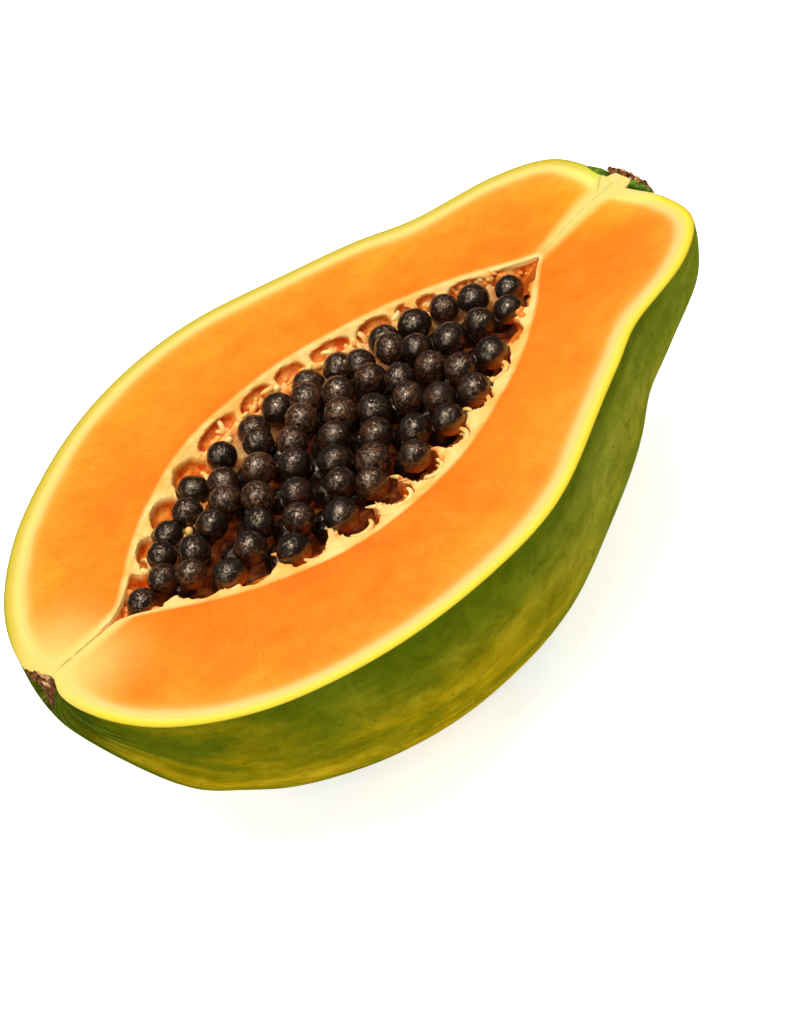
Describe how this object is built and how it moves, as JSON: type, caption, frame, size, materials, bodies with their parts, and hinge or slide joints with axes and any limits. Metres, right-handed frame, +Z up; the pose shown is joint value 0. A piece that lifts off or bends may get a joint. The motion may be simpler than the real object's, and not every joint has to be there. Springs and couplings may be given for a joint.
{
  "type": "papaya half",
  "caption": "Ripe papaya cut in half lengthwise, lying on its rind with the cut face up and the cavity full of seeds.",
  "frame": {"origin": "under the middle of the part's bounding box, at the small flat patch of rind it rests on", "axes": "+X along the fruit, from the blossom end towards the stem end; +Z up, square to the level cut face; +Y completes a right-handed frame"},
  "size_m": [0.1619, 0.117, 0.0597],
  "materials": {
    "flesh_and_rind": "moist orange flesh inside a satin green and yellow rind",
    "seeds": "wet gloss, dark brown to black",
    "dry_stalk": "dry, crinkled",
    "cork": "dry, corky"
  },
  "bodies": {
    "root": {"papaya_half": "flesh_and_rind", "seed_heap": "seeds", "stem_stub": "dry_stalk", "blossom_scar": "cork"}
  },
  "joints": []
}
